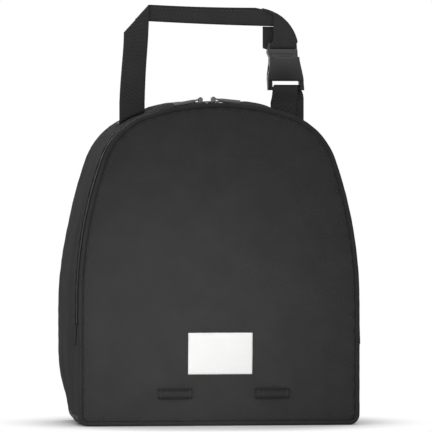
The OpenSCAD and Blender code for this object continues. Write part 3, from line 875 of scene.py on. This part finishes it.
# The grip's cross-section goes down one layer, round the fold and up the other. Each place is how
# far it is in front or behind, and its share of the grip's height.
section = ([(-layer, h) for h in (0.86, 0.65, 0.45, 0.25, 0.08)]
           + [(-0.7 * layer, 0.02), (0, 0), (0.7 * layer, 0.02)]
           + [(layer, h) for h in (0.08, 0.2, 0.4, 0.6, 0.8, 1)])
GRIP_STEPS = 40
grip_sag = 0.0006
drop_out = 0.0020
turn_c = Vector((right_hi.x + drop_out - turn_r, grip_right[1] - turn_r))


def grip_place(i, j):
    """The grip: the web folded in half lengthwise, its fold below and its two edges above."""
    y, h = section[j]
    share = i / GRIP_STEPS
    z_left = grip_left[0] + h * (grip_left[1] - grip_left[0])
    z_right = grip_right[0] + h * (grip_right[1] - grip_right[0])
    x_left = left_hi.x + lean_top - web_w * (grip_left[1] - z_left) / turn_cut
    x_right = turn_c.x + math.sqrt(max(turn_r**2 - (z_right - turn_c.y)**2, 0))
    x = x_left + (x_right - x_left) * share
    z = z_left + (z_right - z_left) * share - grip_sag * math.sin(math.pi * share)
    return (x, y, z), (web_w / 2 * h + 4 * y, x)


# The right end's rows: how far behind, how high, and its share of the tail's lean.
plug_bar_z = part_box("buckle_plug")[1].z - bar_in
drop_top = grip_right[1] - 0.0042
bend_top = plug_bar_z + 0.005
tail_lean, tail_l = 0.0058, 0.0145
loop_drop, loop_from = 1.4 * loop_r, 0.7
tail_rows = [(loop_r + 0.001, plug_bar_z + d, 1) for d in spread(tail_l, -0.0016, 9)]
loop_rows = [(loop_r * math.cos(t), plug_bar_z - loop_drop * math.sin(t), 1 - ease((t - loop_from) / 1.1))
             for t in spread(loop_from, math.pi, 12)]
drop_rows = [(-loop_r, z, -drop_out / tail_lean * ease((z - plug_bar_z) / 0.004))
             for z in spread(plug_bar_z, bend_top, 6)[1:] + spread(bend_top, drop_top, 8)[1:]]
end_rows = tail_rows + loop_rows + drop_rows


def end_place(i, j):
    """The right end: a loose tail behind, a loop round the plug's bar and the drop in front."""
    y, z, back = end_rows[j]
    left, right = right_lo.x - tail_lean * back, right_hi.x - tail_lean * back
    if j >= len(tail_rows) + len(loop_rows):
        right = min(right, turn_c.x + math.sqrt(turn_r**2 - (z - turn_c.y)**2))
    return (left + (right - left) * i / WEB_COLUMNS, y, z), (web_w * i / WEB_COLUMNS, z)


ROLL_SIDES = 10
roll_y = -2 * layer
roll_r = layer + web_t / 2


def edge_roll(points):
    """A rounded edge of webbing along a line, where one layer turns over into the next."""
    last = len(points) - 1

    def place(i, j):
        run = (points[min(i + 1, last)] - points[max(i - 1, 0)]).normalized()
        turn = 2 * math.pi * j / ROLL_SIDES
        share = i / last
        radius = roll_r * math.sqrt(min(1, 0.02 + 4 * share, 0.02 + 4 * (1 - share)))
        around = run.cross(rearward) * (math.cos(turn) - 1) + rearward * math.sin(turn)
        return points[i] + around * radius, (i * 0.002, j * 0.001)

    bm = sheet_grid(last, ROLL_SIDES, place)
    close_tube(bm)
    return make("roll", bm, webbing)


def settle(obj):
    """Applies a piece's modifiers to its mesh."""
    shown = obj.evaluated_get(bpy.context.evaluated_depsgraph_get())
    mesh = bpy.data.meshes.new_from_object(shown)
    obj.modifiers.clear()
    obj.data = mesh


def join(obj, parts):
    """Makes several meshes one object."""
    bm = bmesh.new()
    for part in [obj] + parts:
        bm.from_mesh(part.data)
    bm.to_mesh(obj.data)
    bm.free()
    for part in parts:
        bpy.data.objects.remove(part)
    obj.data.shade_smooth()


grip = sheet_grid(GRIP_STEPS, len(section) - 1, grip_place)
handle_web = web_body(make("handle_webbing", grip, webbing))
strap_tail = web_body(make("tail", sheet_grid(WEB_COLUMNS, len(end_rows) - 1, end_place), webbing))
bpy.context.view_layer.update()
settle(handle_web)
settle(strap_tail)
diagonal = [Vector((left_lo.x + lean_top + web_w * s, roll_y, grip_left[1] - turn_cut * (1 - s)))
            for s in spread(0.02, 0.98, 10)]
rounded = [Vector((turn_c.x + turn_r * math.sin(a), roll_y, turn_c.y + turn_r * math.cos(a)))
           for a in spread(math.radians(8), math.radians(78), 16)]
join(handle_web, [strap_tail, edge_roll(diagonal), edge_roll(rounded)])
web_start, web_end = (0.010, 0, grip_top), (0.040, 0, grip_top)
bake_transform(handle_web)
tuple(web_start)
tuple(web_end)
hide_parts("handle_strap", "strap_end")


# Buckle: a side release buckle moulded in black acetal. The socket holds the lower webbing, and
# the plug with its two spring arms holds the handle's end.
socket_lo, socket_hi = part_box("buckle_socket")
plug_lo, plug_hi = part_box("buckle_plug")
arm_lo, arm_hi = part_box("arm_left")
buckle_x = (socket_lo.x + socket_hi.x) / 2
mouth_z = socket_hi.z
shell_z = mouth_z - 0.0186
shell_bulge, mouth_taper = 0.0020, 0.0020
skew, flare, shift = 0.0016, 0.0006, 0.0005
rim_lift, rim_h = 0.00035, 0.001
cheek_x = web_w / 2 + 0.0003
pad_l, pad_out, pad_ease = 0.0066, 0.0022, 0.0012
pad_x, pad_w = 0.0085, 0.002
arm_root = 0.005

# Moulded acetal gives the eye a satin black with a fine spark-eroded grain. Its colour is painted
# paler on the faces that look up and darker on those that look down: a painted highlight and painted
# shade of the light from above. The grain is drawn 0.8 mm wide, coarser than it is, to show.
acetal, tree, shader = surface("moulded_acetal", Roughness=0.45, Specular_IOR_Level=0.3)
place_on = add(tree, "TexCoord", {}).outputs
grain = add(tree, "TexNoise", {"Vector": place_on["Object"], "Scale": 1 / 0.00083, "Detail": 3}).outputs[0]
facing = add(tree, "SeparateXYZ", {0: place_on["Normal"]}).outputs["Z"]
# Painted highlight and shade: paler where a face looks up, darker where it looks down.
painted_light_from_above = add(tree, "MapRange", {"Value": facing, "From Min": -0.25, "From Max": 0.4}).outputs[0]
speckle = add(tree, "MapRange", {"Value": grain, "To Min": -0.12, "To Max": 0.12}).outputs[0]
tone = add(tree, "Math", {0: painted_light_from_above, 1: speckle}, operation="ADD", use_clamp=True).outputs[0]
tree.links.new(mixed(tree, tone, "1a1a1b", "4e4e50"), shader.inputs["Base Color"])
bump = add(tree, "Bump", {"Height": grain, "Strength": 0.3, "Distance": 0.0001})
tree.links.new(bump.outputs[0], shader.inputs["Normal"])


def askew(co):
    """Where a point of the shell goes sideways: wider and askew at its bar, narrower at its mouth."""
    across = (co.x - buckle_x) / (socket_hi.x - buckle_x)
    up = (co.z - shell_z) / (mouth_z - shell_z)
    fall = 1 - (co.z - socket_lo.z) / (mouth_z - socket_lo.z)
    return co.x - across * mouth_taper * ease(up) + (across * flare + skew) * fall + shift


def socket_shape(co):
    """Crowns the shell and hangs it askew, and lifts its rim to the plug's shoulder."""
    across = (co.x - buckle_x) / (socket_hi.x - buckle_x)
    up = min(max((co.z - shell_z) / (mouth_z - shell_z), 0), 1)
    bulge = shell_bulge * (1 - 0.7 * across**2) * math.sin(0.75 * math.pi * up)
    z = co.z + rim_lift * ease((co.z - mouth_z + rim_h) / rim_h)
    return Vector((askew(co), co.y + math.copysign(bulge, co.y), z))


def arm_shape(co):
    """The spring arms lie askew with the shell, and their pads fill the windows in its sides."""
    pad = ease((co.z - arm_lo.z) / pad_ease) * ease((arm_lo.z + pad_l - co.z) / pad_ease)
    outer = ease((abs(co.x - buckle_x) - pad_x) / pad_w)
    x = co.x + (askew(co) - co.x) * ease((mouth_z - co.z) / arm_root)
    return Vector((x + math.copysign(pad_out * pad * outer, co.x - buckle_x), co.y, co.z))


def plug_shape(co):
    """Rounds the plug's shoulders, narrows it at the socket's mouth and leans its front back."""
    if co.z < mouth_z:
        return co
    up = (co.z - mouth_z) / (plug_hi.z - mouth_z)
    off = abs(co.x - buckle_x)
    if off > cheek_x:
        narrow = 0.2 if co.x > buckle_x else 0.35 + 0.65 * ease(up / 0.4)
        off = cheek_x + (off - cheek_x) * narrow * (0.3 + 0.7 * math.sqrt(max(1 - up**2, 0)))
    return Vector((buckle_x + math.copysign(off, co.x - buckle_x), co.y * (1.62 - 0.95 * up), co.z))


socket_slices = ((0, spread(socket_lo.x, socket_hi.x, 12)[1:-1]), (2, spread(shell_z, mouth_z, 10)[1:-1]))
plug_slices = ((2, spread(mouth_z, plug_hi.z, 10)[1:-1]),)
arm_slices = ((2, spread(arm_lo.z, mouth_z, 24)[1:-1]),)
cover_lo = Vector((plug_lo.x + 0.0012, arm_hi.y + 0.0003, mouth_z + 0.0001))
cover_hi = Vector((plug_hi.x - 0.0012, plug_hi.y - 0.00002, arm_hi.z + 0.0009))
covers = ((cover_lo, cover_hi), (Vector((cover_lo.x, -cover_hi.y, cover_lo.z)),
                                 Vector((cover_hi.x, -cover_lo.y, cover_hi.z))))
rounded_copy("socket", "buckle_socket", "handle", 0.0009, acetal, socket_shape, socket_slices)
rounded_copy("plug", "buckle_plug", "plug", 0.0007, acetal, plug_shape, plug_slices, covers)
for arm in ("arm_left", "arm_right"):
    rounded_copy("spring_" + arm, arm, arm, 0.0005, acetal, arm_shape, arm_slices)


# Label: a bare white woven satin label sewn on the front by its border, following the swollen
# cloth under it.
label_lo, label_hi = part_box("label")
label_t, label_lift, label_press = 0.0005, 0.0002, 0.0003
LABEL_COLUMNS, LABEL_ROWS = 30, 20
front_surface = finished(front_cloth)

# Satin gives the eye a smooth bright white with long threads, drawn 0.8 by 1.6 mm so that they show.
satin = woven("woven_satin", "ebebea", "f4f4f3", across=0.0008, lengthwise=0.0016, lift=0.0001,
              roughness=0.55, gloss=0.1)


def on_front(x, z, lift):
    """The point lift in front of the front cloth at x and z."""
    hit = front_surface.ray_cast(Vector((x, -2 * half_d, z)), rearward)[0]
    return hit - Vector((0, lift, 0))


def label_place(i, j):
    """The label on the cloth, pressed down along its border where it is sewn."""
    x = label_lo.x + (label_hi.x - label_lo.x) * i / LABEL_COLUMNS
    z = label_lo.z + (label_hi.z - label_lo.z) * j / LABEL_ROWS
    sewn = min(i, LABEL_COLUMNS - i, j, LABEL_ROWS - j) == 1
    return on_front(x, z, label_t + label_lift - label_press * sewn), (x, z)


label = make("sewn_label", sheet_grid(LABEL_COLUMNS, LABEL_ROWS, label_place), satin)
thicken(label, label_t)
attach(label, "bag")
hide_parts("label")


# Lash tabs and zip ends: short strips of webbing and cloth sewn flat. The two tabs under the label
# stand a little proud between their sewn ends, and the other two close the ends of the zip.
TAB_COLUMNS, TAB_ROWS = 20, 8
tab_lo, tab_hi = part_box("lash_tab_left")
tab_rise, tab_lift = 0.0012, 0.0001
edge_band, edge_band_ease = 0.0025, 0.0006
END_STEPS = 10
end_t, end_lift = 0.0011, 0.0008

# The tabs' webbing gives the eye a dull black, darker in a band along both long edges. Its threads
# are drawn about as coarse as the handle's.
tab_webbing = woven("dark_edged_webbing", "2e2e2e", "3a3a3a", across=0.0020, lengthwise=0.0013,
                    lift=0.00025, roughness=0.7, gloss=0.05)
tree = tab_webbing.node_tree
colour = tree.nodes["Principled BSDF"].inputs["Base Color"]
middle_tone = colour.links[0].from_socket
flat = add(tree, "SeparateXYZ", {0: add(tree, "UVMap", {}, uv_map="flat").outputs["UV"]}).outputs["X"]
off = add(tree, "Math", {0: flat, 1: (tab_lo.z + tab_hi.z) / 2}, operation="SUBTRACT").outputs[0]
off = add(tree, "Math", {0: off}, operation="ABSOLUTE").outputs[0]
# Darker in a band along both long edges of each tab.
edge_z = (tab_hi.z - tab_lo.z) / 2 - edge_band
share = add(tree, "MapRange", {"Value": off, "From Min": edge_z, "From Max": edge_z + edge_band_ease})
edged = add(tree, "Mix", {0: share.outputs[0], 6: middle_tone, 7: linear("292929")}, data_type="RGBA")
tree.links.new(edged.outputs[2], colour)


def tab_of(node):
    """A tab on the front cloth, raised between its ends."""
    lo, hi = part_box(node)

    def place(i, j):
        x = lo.x + (hi.x - lo.x) * i / TAB_COLUMNS
        z = lo.z + (hi.z - lo.z) * j / TAB_ROWS
        rise = tab_rise * ease(min(i, TAB_COLUMNS - i) / 7 - 0.3)
        return on_front(x, z, web_t / 2 + tab_lift + rise), (z, x)

    tab = web_body(make(node + "_web", sheet_grid(TAB_COLUMNS, TAB_ROWS, place), tab_webbing))
    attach(tab, "bag")
    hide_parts(node)
    return tab


def zip_end(node, hand):
    """A patch of cloth on the side band, over the end of the zip."""
    lo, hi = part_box(node)

    def place(i, j):
        y = lo.y + (hi.y - lo.y) * i / END_STEPS
        z = lo.z + (hi.z - lo.z) * j / END_STEPS
        hit = band_surface.ray_cast(Vector((hand * 2 * half_w, y, z)), Vector((-hand, 0, 0)))[0]
        return hit + Vector((hand * end_lift, 0, 0)), (y, z)

    bm = sheet_grid(END_STEPS, END_STEPS, place)
    if hand < 0:
        turn_over(bm)
    end = make(node + "_cloth", bm, bias_cloth)
    thicken(end, end_t, 0)
    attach(end, "bag")
    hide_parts(node)


tabs = [tab_of("lash_tab_left"), tab_of("lash_tab_right")]
zip_end("zip_tab_left", -1)
zip_end("zip_tab_right", 1)


# Sewing: polyester thread along the seams, round the label, across the tabs, along the grip and in
# a crossed box on each foot of the handle, laid on the finished cloth as separate stitches.
stitch_share, stitch_w, stitch_t, stitch_lift = 0.72, 0.00035, 0.00025, 0.0001
seam_pitch, foot_pitch, tab_pitch, grip_pitch, label_pitch = 0.0034, 0.0026, 0.0022, 0.0030, 0.0028
front_hem, zip_hem, grip_hem, label_hem = 0.0068, 0.0022, 0.0008, 0.0018
box_in, box_front = 0.003, 0.005
tack_in, tack_low, tack_high = 0.002, 0.0008, 0.0004
clear_of_web = 0.004

# Bonded thread gives the eye short glossy dashes, finely uneven along the plies.
thread_looks = {"Roughness": 0.5, "Specular_IOR_Level": 0.3}
black_thread = grained("black_thread", "303030", "464646", 0.00067, **thread_looks)[0]
white_thread = grained("white_thread", "e4e4e3", "f0f0ef", 0.00067, **thread_looks)[0]


def sew(bm, cloth, line, pitch):
    """Stitches along a line, each laid on the nearest cloth."""
    marks = stations(line)
    for i in range(int(marks[-1] / pitch)):
        start, out, _, _ = cloth.find_nearest(along(line, marks, i * pitch))
        end = cloth.find_nearest(along(line, marks, (i + stitch_share) * pitch))[0]
        run = (end - start).normalized()
        across = out.cross(run).normalized()
        turn = Matrix((run, across, run.cross(across))).transposed().to_4x4()
        size = Matrix.Diagonal(((end - start).length / 2, stitch_w, stitch_t, 1))
        at = Matrix.Translation((start + end) / 2 + out * stitch_lift)
        bmesh.ops.create_icosphere(bm, subdivisions=1, radius=1, matrix=at @ turn @ size)


bpy.context.view_layer.update()
stitches = bmesh.new()
sew(stitches, front_surface, whole_seam(front_hem, -panel_y), seam_pitch)
front_sewing = make("front_sewing", stitches, black_thread)
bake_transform(front_sewing)
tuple(fold_start)
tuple(fold_end)

stitches = bmesh.new()
zip_edge = [p for p in whole_seam(0, band_front + zip_hem) if p.z > fold_z + seam_step]
gap = max(range(len(zip_edge) - 1), key=lambda i: (zip_edge[i + 1] - zip_edge[i]).length)
sew(stitches, band_surface, zip_edge[gap + 1:] + zip_edge[:gap + 1], seam_pitch)
for foot, lo, lean in ((foot_left, left_lo, lean_foot), (foot_right, right_lo, 0)):
    x0, x1 = lo.x + lean + box_in, lo.x + lean + web_w - box_in
    y0, y1, above = box_front, foot_l - box_in, body_h + clear_of_web
    cloth = finished(foot)
    box = [Vector((x, y, above)) for x, y in ((x0, y0), (x1, y0), (x1, y1), (x0, y1))]
    for a, b in ((0, 1), (1, 2), (2, 3), (3, 0), (0, 2), (1, 3)):
        over = [box[a].lerp(box[b], share) for share in spread(0, 1, 12)]
        sew(stitches, cloth, [cloth.ray_cast(p, Vector((0, 0, -1)))[0] for p in over], foot_pitch)
for tab in tabs:
    cloth = finished(tab)
    xs = [v.co.x for v in tab.data.vertices]
    zs = [v.co.z for v in tab.data.vertices]
    for x in (min(xs) + tack_in, max(xs) - tack_in):
        ends = [on_front(x, z, 2 * web_t) for z in (min(zs) + tack_low, max(zs) - tack_high)]
        sew(stitches, cloth, ends, tab_pitch)
band_sewing = make("band_sewing", stitches, black_thread)
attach(band_sewing, "bag")

stitches = bmesh.new()
cloth = finished(handle_web)
line = [Vector(grip_place(i, 0)[0]) for i in range(1, GRIP_STEPS - 5)]
for y in (-clear_of_web, clear_of_web):
    sew(stitches, cloth, [Vector((p.x, y, p.z - grip_hem)) for p in line], grip_pitch)
grip_sewing = make("grip_sewing", stitches, black_thread)
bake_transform(grip_sewing)
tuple(web_start)
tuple(web_end)

stitches = bmesh.new()
x0, x1 = label_lo.x + label_hem, label_hi.x - label_hem
z0, z1 = label_lo.z + label_hem, label_hi.z - label_hem
border = [Vector((x, -half_d, z)) for x, z in ((x0, z0), (x1, z0), (x1, z1), (x0, z1), (x0, z0))]
sew(stitches, finished(label), border, label_pitch)
label_sewing = make("label_sewing", stitches, white_thread)
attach(label_sewing, "bag")


# Camera at the photograph's place: a little to the left of the middle, level with the bag and far
# off, with a long lens. A pixel of the photograph is 0.785 mm on the bag.
azimuth, elevation = math.radians(-8.2), math.radians(0.3)
distance = 4.0
image_width, pixel = 432, 0.000785
aim_right, aim_up = 0.0056, 0.1620
aim = Vector((aim_right * math.cos(azimuth), aim_right * math.sin(azimuth), aim_up))
towards = Vector((math.sin(azimuth) * math.cos(elevation),
                  -math.cos(azimuth) * math.cos(elevation), math.sin(elevation)))


def hang(name, data, place, target):
    """Puts a camera or lamp at a place and turns it to a target."""
    holder = bpy.data.objects.new(name, data)
    holder.location = place
    holder.rotation_euler = (Vector(target) - Vector(place)).to_track_quat("-Z", "Y").to_euler()
    bpy.context.scene.collection.objects.link(holder)
    return holder


lens = bpy.data.cameras.new("camera")
lens.sensor_width = 36
lens.lens = lens.sensor_width * distance / (image_width * pixel)
lens.clip_end = 50
bpy.context.scene.camera = hang("camera", lens, aim + towards * distance, aim)


# Studio: a ring of soft spot lamps on the front, wide lamps overhead, behind and at the left, a pale
# floor that keeps the bag's shadow close round it, and a white background.
key_place, key_target = Vector((-0.10, -1.85, 0.44)), Vector((-0.038, -0.06, 0.072))
key_ring, key_spread, key_power = 6, 0.24, 66
key = bpy.data.lights.new("key", "SPOT")
key.energy = key_power / (key_ring + 1)
key.spot_size = math.radians(9.6)
key.spot_blend = 1
key.shadow_soft_size = 0.06
hang("key_middle", key, key_place, key_target)
for i in range(key_ring):
    turn = 2 * math.pi * i / key_ring
    ring = Vector((math.sin(turn), 0, math.cos(turn))) * key_spread
    hang("key_%d" % i, key, key_place + ring, key_target)
for name, place, power in (("overhead", (0.1, 0.1, 2.2), 15), ("back", (0.3, 2.2, 0.9), 14),
                           ("left", (-1.3, -0.9, 0.9), 7)):
    lamp = bpy.data.lights.new(name, "AREA")
    lamp.size = 1.6
    lamp.energy = power
    hang(name, lamp, place, (0, 0, 0.1))
shadow_from, shadow_until = 0.10, 0.18
sky_light = 0.45


def seen_directly(tree):
    """1 where the camera, a reflection or clear plastic looks at a surface, and 0 for its light."""
    path = add(tree, "LightPath", {})
    seen = path.outputs["Is Camera Ray"]
    for ray in ("Is Glossy Ray", "Is Transmission Ray"):
        seen = add(tree, "Math", {0: seen, 1: path.outputs[ray]}, operation="MAXIMUM").outputs[0]
    return seen


# Paper gives the eye a matt near-white, which goes over into the white background.
paper, tree, shader = surface("pale_paper", Roughness=0.9, Specular_IOR_Level=0.0)
shader.inputs["Base Color"].default_value = linear("f0f0f0")
place_in = add(tree, "TexCoord", {}).outputs["Object"]
away = add(tree, "VectorMath", {0: place_in}, operation="LENGTH").outputs["Value"]
fade = add(tree, "MapRange", {"Value": away, "From Min": shadow_from, "From Max": shadow_until},
           interpolation_type="SMOOTHSTEP").outputs[0]
share = add(tree, "Math", {0: fade, 1: seen_directly(tree)}, operation="MULTIPLY").outputs[0]
white = add(tree, "Emission", {"Color": linear("ffffff"), "Strength": 1.0}).outputs[0]
sweep = add(tree, "MixShader", {0: share, 1: shader.outputs[0], 2: white}).outputs[0]
tree.links.new(sweep, tree.nodes["Material Output"].inputs["Surface"])
bm = bmesh.new()
bmesh.ops.create_grid(bm, x_segments=1, y_segments=1, size=12)
make("floor", bm, paper)

world = bpy.data.worlds.new("studio")
world.use_nodes = True
bpy.context.scene.world = world
tree = world.node_tree
level = add(tree, "MapRange", {"Value": seen_directly(tree), "To Min": sky_light, "To Max": 1.0})
sky = tree.nodes["Background"]
sky.inputs["Color"].default_value = linear("ffffff")
tree.links.new(level.outputs[0], sky.inputs["Strength"])

bpy.context.scene.view_settings.view_transform = "Standard"
